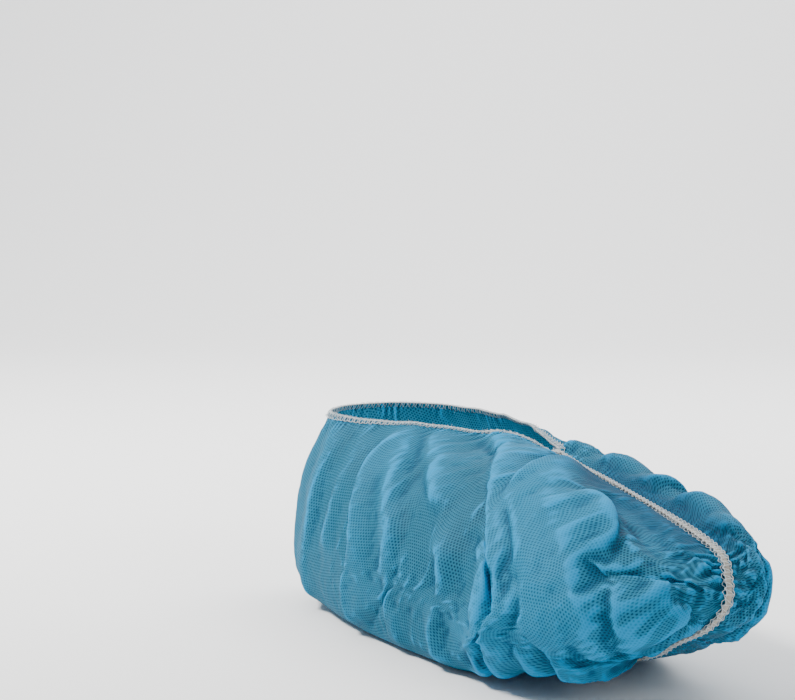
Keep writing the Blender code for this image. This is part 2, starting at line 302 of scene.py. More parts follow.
# along, draw
twist = np.array((
    (0.00, 0.00),
    (0.10, 0.10),
    (0.22, 0.32),
    (0.36, 0.46),
    (0.50, 0.52),
    (0.70, 0.42),
    (0.88, 0.32),
    (1.00, 0.28),
))
# Each fold: how far it stands out, its half width, how far it leans over its steep side, and its
# crest as stations and shares of the way round.  A negative height is a valley.  The right side is
# the one that the camera sees.
foldsRight = (
    (0.0035, 0.0050, 0.4, ((0.17, 0.99), (0.18, 0.75), (0.20, 0.42))),
    (0.0042, 0.0052, -0.4, ((0.25, 0.99), (0.27, 0.70), (0.26, 0.40))),
    (0.0030, 0.0040, 0.3, ((0.31, 0.99), (0.33, 0.80), (0.33, 0.60))),
    (0.0062, 0.0048, 0.6, ((0.36, 0.99), (0.39, 0.76), (0.42, 0.51), (0.42, 0.38))),
    (0.0058, 0.0042, -0.5, ((0.35, 0.99), (0.38, 0.93), (0.46, 0.67), (0.48, 0.58), (0.49, 0.45))),
    (0.0055, 0.0042, 0.4, ((0.385, 0.99), (0.45, 0.85), (0.53, 0.72))),
    (0.0088, 0.0052, 0.7, (
        (0.44, 0.99), (0.55, 0.85), (0.645, 0.74), (0.70, 0.58), (0.735, 0.36), (0.74, 0.18),
    )),
    (0.0070, 0.0055, -0.5, ((0.53, 0.93), (0.56, 0.86), (0.62, 0.81), (0.69, 0.77))),
    (0.0145, 0.0075, 0.95, (
        (0.610, 0.89), (0.635, 0.83), (0.71, 0.75), (0.76, 0.63), (0.79, 0.52), (0.86, 0.33), (0.87, 0.18),
    )),
    (0.0092, 0.0066, -0.95, (
        (0.64, 0.85), (0.69, 0.845), (0.74, 0.825), (0.78, 0.80), (0.81, 0.77), (0.845, 0.72),
        (0.88, 0.68), (0.915, 0.63), (0.95, 0.58),
    )),
    (-0.0050, 0.0070, 0.0, ((0.66, 0.93), (0.72, 0.915), (0.80, 0.88), (0.87, 0.82), (0.92, 0.75))),
    (0.0110, 0.0055, 0.8, ((0.76, 0.76), (0.80, 0.64), (0.845, 0.55), (0.91, 0.36), (0.92, 0.15))),
    (0.0098, 0.0050, 0.8, ((0.80, 0.76), (0.835, 0.72), (0.86, 0.66), (0.91, 0.54), (0.96, 0.34))),
    (0.0062, 0.0040, 0.6, ((0.80, 0.70), (0.84, 0.50), (0.885, 0.32))),
    (0.0045, 0.0045, -0.6, ((0.87, 0.77), (0.88, 0.82), (0.90, 0.85), (0.935, 0.85), (0.98, 0.83))),
    (0.0050, 0.0038, 0.4, ((0.90, 0.82), (0.94, 0.80), (0.985, 0.77))),
    (0.0045, 0.0036, -0.4, ((0.91, 0.72), (0.95, 0.67), (0.985, 0.63))),
    (0.0045, 0.0036, 0.4, ((0.93, 0.60), (0.965, 0.53), (0.985, 0.47))),
    (0.0085, 0.0075, 0.0, ((0.74, 0.10), (0.80, 0.13), (0.86, 0.17), (0.91, 0.24))),
    (0.0048, 0.0045, 0.4, ((0.56, 0.62), (0.60, 0.48), (0.61, 0.30))),
    (0.0036, 0.0042, -0.4, ((0.50, 0.56), (0.52, 0.44), (0.52, 0.30))),
    (0.0085, 0.0048, -0.7, ((0.64, 0.66), (0.68, 0.50), (0.69, 0.30), (0.69, 0.18))),
    (0.0085, 0.0042, 0.8, ((0.735, 0.62), (0.765, 0.50), (0.795, 0.34), (0.80, 0.16))),
)
foldsLeft = (
    (0.0040, 0.0055, 0.4, ((0.17, 0.99), (0.18, 0.70), (0.19, 0.42))),
    (0.0034, 0.0050, -0.3, ((0.25, 0.99), (0.27, 0.66), (0.28, 0.38))),
    (0.0038, 0.0048, 0.3, ((0.33, 0.99), (0.33, 0.72), (0.31, 0.38))),
    (0.0044, 0.0048, -0.4, ((0.41, 0.98), (0.43, 0.70), (0.44, 0.36))),
    (0.0050, 0.0052, 0.5, ((0.50, 0.94), (0.51, 0.72), (0.53, 0.36))),
    (0.0060, 0.0058, 0.5, ((0.57, 0.93), (0.60, 0.70), (0.60, 0.36))),
    (0.0065, 0.0058, -0.6, ((0.66, 0.93), (0.68, 0.68), (0.69, 0.38))),
    (0.0075, 0.0060, 0.6, ((0.75, 0.93), (0.77, 0.70), (0.79, 0.38))),
    (0.0075, 0.0056, -0.5, ((0.84, 0.91), (0.85, 0.70), (0.88, 0.40))),
    (0.0060, 0.0052, 0.4, ((0.90, 0.88), (0.93, 0.70), (0.95, 0.45))),
)


def smooth(value, low, high):
    share = np.clip((value - low) / (high - low), 0, 1)
    return share * share * (3 - 2 * share)


def through(table, place, at):
    known, value = table[:, 0], table[:, place]
    slope = np.gradient(value, known)
    k = np.clip(np.searchsorted(known, at, side="right") - 1, 0, len(known) - 2)
    gap = known[k + 1] - known[k]
    t = (at - known[k]) / gap
    start = (1 + 2 * t) * (1 - t) ** 2 * value[k] + t * (1 - t) ** 2 * gap * slope[k]
    return start + t * t * (3 - 2 * t) * value[k + 1] + t * t * (t - 1) * gap * slope[k + 1]


def splineWeights(count, samples):
    knots = np.pad(np.linspace(0, 1, count - 2), 3, "edge")
    t = np.linspace(0, 1 - 1e-9, samples)[:, None]
    weight = ((knots[:-1] <= t) & (t < knots[1:])).astype(float)
    for order in (1, 2, 3):
        low, high = knots[: -order - 1], knots[order + 1 :]
        rise, fall = knots[order:-1] - low, high - knots[1:-order]
        left = (t - low) / np.where(rise > 0, rise, np.inf)
        right = (high - t) / np.where(fall > 0, fall, np.inf)
        weight = left * weight[:, :-1] + right * weight[:, 1:]
    return weight


weights = splineWeights(8, cloth["samples"])
frontShare = cloth["opening"] / cloth["length"]
frontStation = math.acos(1 - 2 * frontShare) / math.pi


def shareAlong(station):
    return (1 - np.cos(math.pi * station)) / 2


def openingHalf(station):
    behind = (frontShare - shareAlong(station)) / frontShare
    if behind <= 0:
        return 0.0
    front, back = cloth["openingFrontPower"], cloth["openingBackPower"]
    widest = front / (front + back)
    shape = [u**front * max(0.0, 1 - u) ** back for u in (behind, widest)]
    distance = behind * cloth["opening"]
    bead = cloth["hemBead"]
    fades = math.exp(-distance / (cloth["openingRoundWithin"] * bead))
    roundEnd = 2 * cloth["openingRound"] * bead * distance * fades
    return math.hypot(cloth["openingWidth"] / 2 * shape[0] / shape[1], math.sqrt(roundEnd))


def sectionCurve(station):
    lift, roll, sole, side, sideRise, shoulder, shoulderRise, crest, crestRise, edge = (
        max(0.0, float(through(sections, place, station))) for place in range(1, 11)
    )
    high, half = cloth["height"], cloth["width"] / 2
    lift, top = lift * high, edge * high
    roll *= top - lift
    sole, side, shoulder, crest = sole * half, side * half, shoulder * half, crest * half
    outline = np.array((
        (0, lift),
        (0.5 * sole, lift + 0.14 * roll),
        (sole, lift + 0.28 * roll),
        (side, lift + 0.02 * high + 0.36 * roll),
        (side, sideRise * high),
        (shoulder, shoulderRise * high),
        (crest, crestRise * high),
        (min(openingHalf(station), crest), top),
    ))
    out, rise = (weights @ outline).T
    rise = np.maximum(rise - cloth["solePress"], 0)
    share = np.clip(rise / high, 0, 1)
    back = cloth["length"] * (through(ends, 1, share) - 0.5)
    front = cloth["length"] * (0.5 - through(ends, 2, share))
    curve = np.stack((back + (front - back) * shareAlong(station), -out, rise), axis=1)
    return curve, walkOf(curve)


def readCurve(curve, walked, distances):
    return np.stack([np.interp(distances, walked, curve[:, axis]) for axis in range(3)], axis=-1)


def walkOf(line):
    return np.concatenate(([0], np.linalg.norm(np.diff(line, axis=0), axis=1).cumsum()))


def headingOf(line):
    heading = np.gradient(line, axis=0)
    return heading / np.linalg.norm(heading, axis=1, keepdims=True)


def evenStations():
    # stations an even walk apart along the side, with one exactly at the opening's front
    tries = np.linspace(0, 1, 401)
    middle = []
    for station in tries:
        curve, walked = sectionCurve(station)
        middle.append(readCurve(curve, walked, cloth["middleShare"] / 100 * walked[-1]))
    walk = walkOf(middle)
    rows = np.interp(np.linspace(0, walk[-1], cloth["rows"] + 1), walk, tries)
    rows[np.argmin(abs(rows - frontStation))] = frontStation
    return rows


def smoothGrid(rows):
    points, shares, walks = [], [], []
    edge, half = cloth["grooveEdge"], cloth["grooveHalf"]
    for station in rows:
        curve, walked = sectionCurve(station)
        whole = walked[-1]
        even = np.linspace(edge, whole - edge, cloth["rounds"] - 3)
        distances = np.concatenate(([0, half], even, [whole - half, whole]))
        points.append(readCurve(curve, walked, distances))
        shares.append(distances / whole)
        walks.append(distances)
    return np.array(points), np.array(shares), np.array(walks)


def gridNormals(points):
    across = np.cross(np.gradient(points, axis=0), np.gradient(points, axis=1))
    across[np.abs(points[:, :, 1]) < 1e-6, 1] = 0
    normals = across / np.maximum(np.linalg.norm(across, axis=2, keepdims=True), 1e-12)
    for row, place, nextRow, nextPlace in ((0, 0, 1, 1), (-1, 0, -2, 1), (-1, -1, -2, -2)):
        between = normals[nextRow, place] + normals[row, nextPlace]
        normals[row, place] = between / np.linalg.norm(between)
    return normals


def distanceFrom(points, line):
    away = np.full(points.shape[:2], np.inf)
    for place in line:
        away = np.minimum(away, np.linalg.norm(points - place, axis=2))
    return away


def softened(values, times):
    # each value of a grid moved towards the middle of its neighbours
    for _ in range(times):
        padded = np.pad(values, ((1, 1), (1, 1)) + ((0, 0),) * (values.ndim - 2), "edge")
        rowsMixed = 0.25 * padded[:-2] + 0.5 * padded[1:-1] + 0.25 * padded[2:]
        values = 0.25 * rowsMixed[:, :-2] + 0.5 * rowsMixed[:, 1:-1] + 0.25 * rowsMixed[:, 2:]
    return values


def creaseOf(path):
    # a smooth line through the crest's stations and shares
    known = np.array(path)
    places = np.arange(len(known), dtype=float)
    fine = np.linspace(0, len(known) - 1, cloth["creaseSteps"] * (len(known) - 1) + 1)
    table = np.column_stack((places, known))
    crease = []
    for station, share in zip(through(table, 1, fine), through(table, 2, fine)):
        curve, walked = sectionCurve(float(np.clip(station, 0, 1)))
        crease.append(readCurve(curve, walked, float(np.clip(share, 0, 1)) * walked[-1]))
    return np.array(crease)


def foldMoves(points, normals, folds):
    # where folds meet, the higher one wins, so that their heights don't pile up
    ridge = np.zeros(points.shape[:2])
    valley = np.zeros(points.shape[:2])
    lean = np.zeros(points.shape)
    for height, width, over, path in folds:
        crease = creaseOf(path)
        heading = headingOf(crease)
        away = np.linalg.norm(points[:, :, None] - crease, axis=3)
        nearest = away.argmin(axis=2)
        aside = np.cross(heading[nearest], normals)
        offset = ((points - crease[nearest]) * aside).sum(axis=2)
        # the side that a fold leans over is steep, and the other one runs out gently
        steep = 0.62 * over * np.tanh(offset / (0.4 * width))
        away = away.min(axis=2) / (width * (1 - steep))
        stands = height * np.exp(-0.6 * away**1.7)
        wins = stands > ridge
        lean = np.where(wins[..., None], aside * (over * stands)[..., None], lean)
        ridge = np.maximum(ridge, stands)
        valley = np.minimum(valley, stands)
    return softened(ridge + valley, 2), softened(lean, 3)


def twisted(points):
    along = np.clip(points[..., 0] / cloth["length"] + 0.5, 0, 1)
    half, high = cloth["width"] / 2, cloth["height"]
    draw = half * through(twist, 1, along)
    low, top = cloth["twistRise"]
    draw = draw * smooth(points[..., 2], low * high, top * high)
    fromMiddle = np.clip(np.abs(points[..., 1]) / half, 0, 1)
    moved = points.copy()
    moved[..., 1] += draw * (1 - fromMiddle ** cloth["twistPower"])
    return moved


def seamLine(grid, front):
    return np.concatenate((grid[:, 0], grid[-1, 1:], grid[-2 : front - 1 : -1, -1]))


def makeSide(rows, folds, front):
    points, shares, walks = smoothGrid(rows)
    normals = gridNormals(points)
    station = rows[:, None]
    fromSeam = distanceFrom(points, seamLine(points, front)[::2])
    out, lean = foldMoves(points, normals, folds)
    # folds fade out towards the sole, beside the seam and under the hem
    high, low = cloth["foldsFrom"]
    foldsFrom = high - (high - low) * smooth(station, 0.60, 0.70)
    mask = smooth((points[:, :, 2] - points[:, :1, 2]) / foldsFrom, 0.0, 1.0)
    mask = mask * smooth(fromSeam, cloth["grooveHalf"], cloth["grooveHalf"] + cloth["seamCalm"])
    byHem = smooth(shares, 0.90, 1.0) * (1 - smooth(station, frontStation - 0.08, frontStation))
    mask = mask * (1 - cloth["hemCalm"] * byHem)
    underSole = smooth(station, 0.05, 0.09)
    overInstep = smooth(station, frontStation, frontStation + 0.06)
    sewn = np.where(shares < 0.5, underSole, overInstep)
    beside = smooth(fromSeam, cloth["grooveHalf"], cloth["grooveEdge"])
    groove = -cloth["groove"] * sewn * (1 - beside)
    plain = points + normals * groove[..., None]
    moved = plain + (normals * out[..., None] + lean) * mask[..., None]
    moved[:, :, 2] = np.maximum(moved[:, :, 2], 0)
    return {"plain": plain, "moved": moved, "shares": shares, "walks": walks, "fromSeam": fromSeam}


def flatPlaces(side, sign):
    # the place of each point on the flat cut: along from the heel fold, and up the side
    plain = side["plain"]
    middle = plain.shape[1] * cloth["middleShare"] // 100
    along = walkOf(plain[:, middle]) * cloth["gather"]
    up = (side["walks"] - side["walks"][:, middle : middle + 1]) * cloth["spread"]
    return np.stack((sign * np.repeat(along[:, None], plain.shape[1], axis=1), up), axis=2)


def weldGrids(count, across, front):
    # numbers of the mesh's points on each side, where the two sides share those on their seams
    right = np.arange(count * across).reshape(count, across)
    left = right.copy()
    own = np.ones((count, across), bool)
    own[:, 0] = own[0] = own[-1] = False
    own[front:, -1] = False
    left[own] = count * across + np.arange(own.sum())
    return right, left, own


def quadsOf(numbers, flip):
    corners = np.stack((numbers[:-1, :-1], numbers[1:, :-1], numbers[1:, 1:], numbers[:-1, 1:]), axis=2)
    quads = corners.reshape(-1, 4)
    return quads[:, ::-1] if flip else quads


rows = evenStations()
front = int(np.argmin(abs(rows - frontStation)))
right = makeSide(rows, foldsRight, front)
left = makeSide(rows, foldsLeft, front)
leftRim = left["plain"][1:front, -1] * (1, -1, 1)
rim = twisted(np.concatenate((right["plain"][: front + 1, -1], leftRim)))
hemLow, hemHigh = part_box("hem_elastic")
shift = (np.array(hemLow) + np.array(hemHigh)) / 2 - (rim.min(axis=0) + rim.max(axis=0)) / 2
shift[2] = cloth["lift"]
for side, sign in ((right, 1), (left, -1)):
    side["flat"] = flatPlaces(side, sign)
    for name in ("plain", "moved"):
        side[name] = twisted(side[name] * (1, sign, 1)) + shift
rightNumbers, leftNumbers, ownLeft = weldGrids(*right["shares"].shape, front)


def joined(values):
    # one list for the welded mesh, from a grid for each side
    own = values(right)
    return np.concatenate((own.reshape(-1, *own.shape[2:]), values(left)[ownLeft]))


topAway = joined(lambda side: side["walks"][:, -1:] - side["walks"])
soleAway = joined(lambda side: side["walks"])
plainPoints = joined(lambda side: side["plain"])
startPoints = joined(lambda side: side["moved"])
fromSeam = joined(lambda side: side["fromSeam"])
stations = joined(lambda side: np.repeat(rows[:, None], side["shares"].shape[1], axis=1))
quads = np.concatenate((quadsOf(rightNumbers, False), quadsOf(leftNumbers, True)))
print("sheet laid out:", len(plainPoints), "points,", len(quads), "quads")


# The cloth is longer than the line that the elastic holds it to, so it buckles into folds.
# The inner tables hold Blender's own settings.
settling = {
    "scale": 10.0,
    "frames": 8,
    "formInset": 0.0022,
    "formOuter": 0.004,
    "heldBySeam": 0.004,
    "heldByHem": 0.003,
    "heldSole": 0.004,
    "most": 0.013,
    "cloth": {
        "quality": 6,
        "mass": 0.25,
        "tension_stiffness": 28.0,
        "compression_stiffness": 28.0,
        "shear_stiffness": 8.0,
        "bending_stiffness": 0.9,
        "tension_damping": 4.0,
        "compression_damping": 4.0,
        "shear_damping": 4.0,
        "air_damping": 3.0,
        "vertex_group_mass": "held",
    },
    "contact": {
        "use_collision": True,
        "distance_min": 0.004,
        "use_self_collision": True,
        "self_distance_min": 0.008,
        "self_friction": 5.0,
    },
}


def readVectors(mesh, name):
    values = np.empty(len(mesh.vertices) * 3, np.float32)
    mesh.vertices.foreach_get(name, values)
    return values.reshape(-1, 3).astype(float)


def settle(points):
    scale = settling["scale"]
    form = newMesh("form", plainPoints, quads)
    inner = plainPoints - readVectors(form.data, "normal") * settling["formInset"]
    form.data.vertices.foreach_set("co", (inner * scale).ravel())
    form.modifiers.new("collision", "COLLISION")
    form.collision.thickness_outer = settling["formOuter"]
    form.collision.use_culling = False
    sheet = newMesh("settling", points * scale, quads)
    sheet.shape_key_add(name="start")
    cut = sheet.shape_key_add(name="cut")
    longer = plainPoints * (cloth["gather"], cloth["spread"], cloth["spread"]) * scale
    cut.data.foreach_set("co", longer.ravel())
    held = sheet.vertex_groups.new(name="held")
    flatSole = plainPoints[:, 2] < settling["heldSole"] + cloth["lift"]
    byHem = (topAway < settling["heldByHem"]) & (stations <= frontStation)
    pinned = (fromSeam < settling["heldBySeam"]) | flatSole | byHem
    held.add(np.nonzero(pinned)[0].tolist(), 1.0, "REPLACE")
    modifier = sheet.modifiers.new("cloth", "CLOTH")
    for name, value in settling["cloth"].items():
        setattr(modifier.settings, name, value)
    for name, value in settling["contact"].items():
        setattr(modifier.collision_settings, name, value)
    modifier.settings.rest_shape_key = cut
    modifier.settings.effector_weights.gravity = 0.0
    modifier.point_cache.frame_end = settling["frames"]
    scene = bpy.context.scene
    for step in range(1, settling["frames"] + 1):
        scene.frame_set(step)
    evaluated = sheet.evaluated_get(bpy.context.evaluated_depsgraph_get())
    settled = readVectors(evaluated.to_mesh(), "co") / scale
    evaluated.to_mesh_clear()
    scene.frame_set(1)
    bpy.data.objects.remove(sheet)
    bpy.data.objects.remove(form)
    move = settled - plainPoints
    length = np.linalg.norm(move, axis=1, keepdims=True)
    move *= np.minimum(1, settling["most"] / np.maximum(length, 1e-9))
    settled = plainPoints + move
    settled[:, 2] = np.maximum(settled[:, 2], cloth["lift"])
    return settled


sheetPoints = startPoints
sheetPoints = settle(startPoints)
print("cloth settled")


# Small gathers beside the elastic, and the crumpled look of the thin cloth.  Each gather:
# height, how far it reaches, how far apart the pleats are.
gathers = {
    "hem": (0.0009, 0.0060, 0.0052),
    "instep": (0.0008, 0.0050, 0.0056),
    "toe": (0.0022, 0.0130, 0.0066),
    "sole": (0.0007, 0.014, 0.0066),
    "wander": 2.6,
    "crumple": 0.00042,
    "crumpleSize": 0.014,
    "crease": 0.0011,
    "creaseApart": 0.016,
    "creaseLong": 0.075,
    "toeCrumple": 2.2,
    # the reach of the painted shade beside the seam
    "seamShadeWithin": (0.005, 0.024),
    "standOffFull": 0.008,
    "bendFull": 0.00030,
}


def patternPlaces(points, numbers):
    # lengths along and up the cloth as it lies, so that the dots keep their pitch over the folds
    grid = points[numbers]
    along = np.linalg.norm(np.diff(grid, axis=0), axis=2).cumsum(axis=0)
    along = softened(np.pad(along, ((1, 0), (0, 0))), 4)
    up = np.linalg.norm(np.diff(grid, axis=1), axis=2).cumsum(axis=1)
    up = np.pad(up, ((0, 0), (1, 0)))
    up = softened(up - up[:, up.shape[1] * cloth["middleShare"] // 100, None], 4)
    return np.stack((along, up), axis=2)


def storeValue(mesh, name, values):
    attribute = mesh.attributes.new(name, "FLOAT", "POINT")
    attribute.data.foreach_set("value", np.asarray(values, np.float32))


def readValue(mesh, name):
    values = np.empty(len(mesh.vertices), np.float32)
    mesh.attributes[name].data.foreach_get("value", values)
    return values.astype(float)


def pleats(along, apart, wander):
    return np.cos(2 * math.pi * along / apart + gathers["wander"] * wander)


def makeCloth(material):
    # the cut sheet: its two sides are one at the heel's fold, and open along the sewn seam
    at = np.arange(rightNumbers.size).reshape(rightNumbers.shape)
    cut = np.concatenate((rightNumbers.ravel(), leftNumbers[1:].ravel()))
    leftAt = np.concatenate((at[:1], at[1:] + at.size - at.shape[1]))
    cutQuads = np.concatenate((quadsOf(at, False), quadsOf(leftAt, True)))
    flat = np.concatenate((right["flat"].reshape(-1, 2), left["flat"][1:].reshape(-1, 2)))
    sheet = newMesh("clothSheet", sheetPoints[cut], cutQuads, material)
    mesh = sheet.data
    dots = np.concatenate((
        patternPlaces(sheetPoints, rightNumbers).reshape(-1, 2),
        patternPlaces(sheetPoints, leftNumbers)[1:].reshape(-1, 2) * (-1, 1),
    ))
    for name, values in (
        ("topAway", topAway[cut]), ("soleAway", soleAway[cut]), ("fromSeam", fromSeam[cut]),
        ("station", stations[cut]), ("flatX", flat[:, 0]), ("flatY", flat[:, 1]),
        ("dotX", dots[:, 0]), ("dotY", dots[:, 1]),
    ):
        storeValue(mesh, name, values)
    # each face's area on the flat cut, from its two diagonals
    corners = flat[cutQuads]
    first, second = (corners[:, 2:] - corners[:, :2]).transpose(1, 2, 0)
    area = 0.5 * abs(first[0] * second[1] - first[1] * second[0]).sum()
    print("flat cut:", np.ptp(flat, axis=0).round(3), "area", round(float(area), 4))
    layer = mesh.uv_layers.new(name="flat")
    layer.data.foreach_set("uv", corners.astype(np.float32).ravel())
    finer = sheet.modifiers.new("finer", "SUBSURF")
    finer.levels = finer.render_levels = 1
    finer.boundary_smooth = "PRESERVE_CORNERS"
    graph = bpy.context.evaluated_depsgraph_get()
    mesh = bpy.data.meshes.new_from_object(sheet.evaluated_get(graph))
    sheet.modifiers.clear()
    sheet.data = mesh
    crumple(mesh)
    return sheet


def noiseOver(x, y, wide, tall, layer):
    # noise on the flat cloth, whose lumps are so wide and tall
    return np.array([noise.noise(Vector((u / wide, v / tall, layer))) for u, v in zip(x, y)])


def crumple(mesh):
    points, normals = readVectors(mesh, "co"), readVectors(mesh, "normal")
    names = ("topAway", "soleAway", "fromSeam", "station", "flatX", "flatY")
    top, sole, seam, station, flatX, flatY = (readValue(mesh, name) for name in names)
    large = gathers["crumpleSize"]
    small = 0.42 * large
    wander = noiseOver(flatX, flatY, 1 / 90, 1 / 45, 3)
    rough = noiseOver(flatX, flatY, large, large, 7 / large)
    fine = noiseOver(flatX, flatY, small, small, 11 / small)
    patches = noiseOver(flatX, flatY, 1 / 38, 1 / 30, 17)
    long = noiseOver(flatX, flatY, gathers["creaseApart"], gathers["creaseLong"], 21)
    uneven = np.clip(0.55 + 1.4 * patches, 0, 1)
    behind = 1 - smooth(station, frontStation - 0.01, frontStation + 0.02)
    toward = smooth(station, 0.80, 0.97)
    move = np.zeros(len(points))
    for name, away, share, along in (
        ("hem", top, behind, flatX),
        ("instep", top, (1 - behind) * (1 - toward), flatX),
        ("toe", seam, toward * smooth(sole, 0.01, 0.03), flatY),
    ):
        height, reach, apart = gathers[name]
        lines = pleats(along, apart, wander * 2)
        move += uneven * share * height * lines * smooth(away, 0.0008, 0.004) * np.exp(-away / reach)
    free = smooth(points[:, 2], 0.002, 0.010)
    creased = (1 - np.abs(rough) * 2.4) * 0.6 + (1 - np.abs(fine) * 2.4) * 0.4
    crumpled = gathers["crumple"] * (1 + gathers["toeCrumple"] * smooth(station, 0.78, 0.92))
    move += crumpled * (creased - 0.5) * free * smooth(seam, 0.001, 0.005)
    move += gathers["crease"] * (0.35 - np.abs(long) * 2.2) * free * uneven * smooth(seam, 0.002, 0.010)
    move *= np.maximum(free, toward * 0.6)
    points += normals * move[:, None]
    height, reach, apart = gathers["sole"]
    under = (1 - smooth(points[:, 2], 0.003, 0.008)) * smooth(sole, 0.003, 0.007)
    points[:, 2] += under * height * (1 + pleats(flatX, apart, wander * 2)) * np.exp(-sole / reach)
    points[:, 2] = np.maximum(points[:, 2], cloth["lift"])
    mesh.vertices.foreach_set("co", points.ravel())
    mesh.update()
    # how far the cloth stands off the form, and how sharply it bends; the cloth's colour uses these for
    # painted shade and painted highlight
    form = BVHTree.FromPolygons(plainPoints.tolist(), quads.tolist())
    standOff = np.array([form.find_nearest(Vector(place))[3] for place in points])
    edges = np.empty(len(mesh.edges) * 2, np.int32)
    mesh.edges.foreach_get("vertices", edges)
    first, second = edges.reshape(-1, 2).T
    count = np.bincount(edges, minlength=len(points))
    normals = readVectors(mesh, "normal")
    around = np.zeros((len(points), 3))
    np.add.at(around, first, points[second])
    np.add.at(around, second, points[first])
    bend = ((points - around / count[:, None]) * normals).sum(axis=1)
    spread = np.bincount(first, bend[second], len(points))
    spread += np.bincount(second, bend[first], len(points))
    bend = 0.5 * bend + 0.5 * spread / count
    # painted shade: a strip beside the sewn seam, from the instep towards the toe and nearer the hem than
    # the sole, painted darker
    seamShade = (1 - smooth(seam, *gathers["seamShadeWithin"])) * (sole > top) * smooth(station, 0.5, 0.62)
    storeValue(mesh, "seamShade", seamShade * (1 - smooth(station, 0.86, 0.96)))
    storeValue(mesh, "standOff", np.clip(standOff / gathers["standOffFull"], 0, 1))
    storeValue(mesh, "bend", np.clip(0.5 + bend / gathers["bendFull"], 0, 1))


# Materials.  Lengths of a pattern are metres along the cloth.
clothLook = {
    "dotPitch": 0.00172,
    "dotSize": (0.20, 0.36),
    # painted shade: the darker colour where the cloth lies on the form, standing in for the dark shoe
    # behind it and for shade
    "restShadeColour": (0.016, 0.165, 0.275, 1),
    "looseColour": (0.005, 0.285, 0.530, 1),
    # painted highlight on fold ridges
    "ridgeHighlightColour": (0.001, 0.380, 0.760, 1),
    # painted shade in fold valleys and beside the seam
    "valleyShadeColour": (0.001, 0.060, 0.140, 1),
    "dotColour": (0.001, 0.032, 0.072, 1),
    "tightShade": 0.72,
    "frostColour": (0.060, 0.300, 0.420, 1),
    "roughness": 0.62,
    "gloss": 0.12,
    "translucent": 0.30,
    "pit": 0.00016,
    "fibreRise": 0.00008,
    "cloudScale": 45.0,
    "patchScale": 320.0,
    "fibreScale": 2600.0,
}
threadLook = {
    "white": (0.760, 0.790, 0.790, 1),
    "shade": (0.470, 0.540, 0.570, 1),
    "elastic": (0.440, 0.400, 0.340, 1),
    "elasticShade": (0.330, 0.310, 0.270, 1),
    "fibreScale": 2200.0,
    "fibreRise": 0.0002,
    "soilScale": 160.0,
    "roughness": 0.72,
}


def makeNonwoven():
    look = clothLook
    board = Board("nonwoven")
    across, up = board.attribute("dotX"), board.attribute("dotY")
    flat = board.put("ShaderNodeCombineXYZ", None, [across, up])
    tall = look["dotPitch"] * math.sqrt(3)

    def nearDot(offset):
        x = (across / look["dotPitch"] + offset).maths("FRACT") - 0.5
        y = ((up / tall + offset).maths("FRACT") - 0.5) * math.sqrt(3)
        return (x * x + y * y).maths("SQRT")

    low, high = look["dotSize"]
    dot = 1 - nearDot(0.0).least(nearDot(0.5)).between(low, high)
    cloud = board.noise(flat, look["cloudScale"], 3.0)
    fibre = board.noise(flat, look["fibreScale"], 2.0, 0.7)
    patch = board.noise(flat, look["patchScale"], 2.0)
    standOff = board.attribute("standOff")
    bend = board.attribute("bend")
    # where the cloth bends outward, for the painted ridge highlight, and inward, for the painted valley
    # shade
    ridge = bend.between(0.60, 0.92)
    valley = 1 - bend.between(0.16, 0.46)
    # painted shade: darker where the cloth lies close to the form, for the dark shoe seen through it and
    # for shade, lighter where it stands off; the cloud noise varies this at random
    loose = standOff * 0.8 + (cloud - 0.5) * 0.5
    base = board.blendColours(loose, look["restShadeColour"], look["looseColour"])
    frost = (fibre - 0.35).most(0.0) * 0.8 + (patch - 0.5) * 0.4
    base = board.blendColours(frost, base, look["frostColour"])
    # painted highlight: fold ridges are painted a brighter blue
    base = board.blendColours(ridge * 0.70, base, look["ridgeHighlightColour"])
    # painted shade: fold valleys are painted a darker blue
    base = board.blendColours(valley * 0.55, base, look["valleyShadeColour"])
    # the dots fade under the painted ridge highlight
    seen = 1 - ridge * 0.65
    # painted shade beside the seam, in the valley shade colour
    seamShade = board.attribute("seamShade") * look["tightShade"]
    base = board.blendColours(seamShade, base, look["valleyShadeColour"])
    # the dots are a printed pattern, painted darker where the cloth lies on the form, as painted shade and
    # the dark shoe seen through
    base = board.blendColours(dot * seen * (0.92 - standOff * 0.30), base, look["dotColour"])
    pits = board.bump(1 - dot * seen, look["pit"], 0.9)
    normal = board.bump(fibre, look["fibreRise"], 0.5, pits)
    uneven = look["roughness"] + 0.15 * (fibre - 0.5)
    values = {"Base Color": base, "Roughness": uneven, "Normal": normal}
    solid = board.put("ShaderNodeBsdfPrincipled", None, values)
    solid.socket.node.inputs["Specular IOR Level"].default_value = look["gloss"]
    glow = board.put("ShaderNodeBsdfTranslucent", None, {"Color": base, "Normal": normal})
    return board.finish(board.put("ShaderNodeMixShader", None, [look["translucent"], solid, glow]))


def makeThread(name, light, shade):
    board = Board(name)
    where = board.put("ShaderNodeTexCoord", out="Object")
    fibre = board.noise(where, threadLook["fibreScale"], 2.0)
    soil = board.noise(where, threadLook["soilScale"], 3.0)
    colour = board.blendColours((fibre - 0.5) * 0.9 + soil, threadLook[shade], threadLook[light])
    values = {
        "Base Color": colour,
        "Roughness": threadLook["roughness"] + 0.2 * (fibre - 0.5),
        "Normal": board.bump(fibre, threadLook["fibreRise"], 0.6),
    }
    return board.finish(board.put("ShaderNodeBsdfPrincipled", None, values))


# Threads and tapes are swept along the cloth's edges
rightward = (0.0, -1.0, 0.0)


